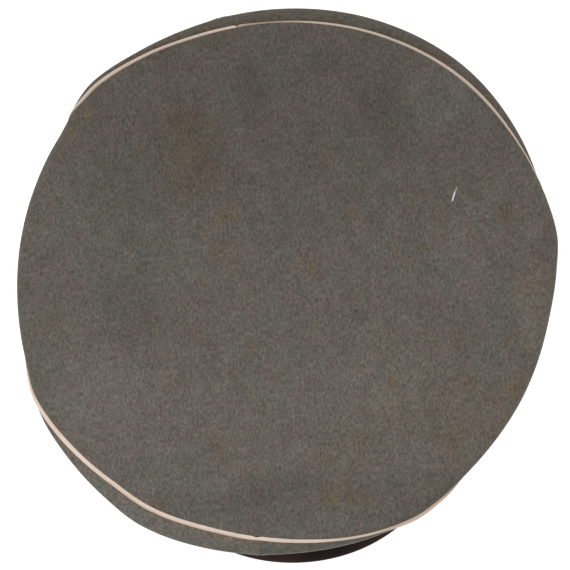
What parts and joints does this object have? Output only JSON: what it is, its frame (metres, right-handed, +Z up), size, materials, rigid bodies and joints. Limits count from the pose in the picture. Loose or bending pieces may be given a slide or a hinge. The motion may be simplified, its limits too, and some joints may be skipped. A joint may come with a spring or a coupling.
{
  "type": "visor cap",
  "caption": "Wool visor cap with a broad round top, corded edge, upright head band and a stiff sloping peak.",
  "frame": {"origin": "middle of the footprint's box, on the surface that the cap rests on", "axes": "+Z up, the peak points to -Y, +X is the right side in a view from above with the peak at the bottom"},
  "size_m": [0.2784, 0.294, 0.1368],
  "materials": {
    "wool_cloth": "field-grey wool with a short nap, faintly mottled and stained",
    "cream_piping": "cream wool cord, matt",
    "band_cloth": "field-grey wool, plain",
    "dark_lacquer": "dark brown-black lacquer, satin"
  },
  "bodies": {
    "root": {"crown_top": "wool_cloth", "crown_piping": "cream_piping", "side_right": "wool_cloth", "side_left": "wool_cloth", "band": "band_cloth", "peak": "dark_lacquer"}
  },
  "joints": []
}
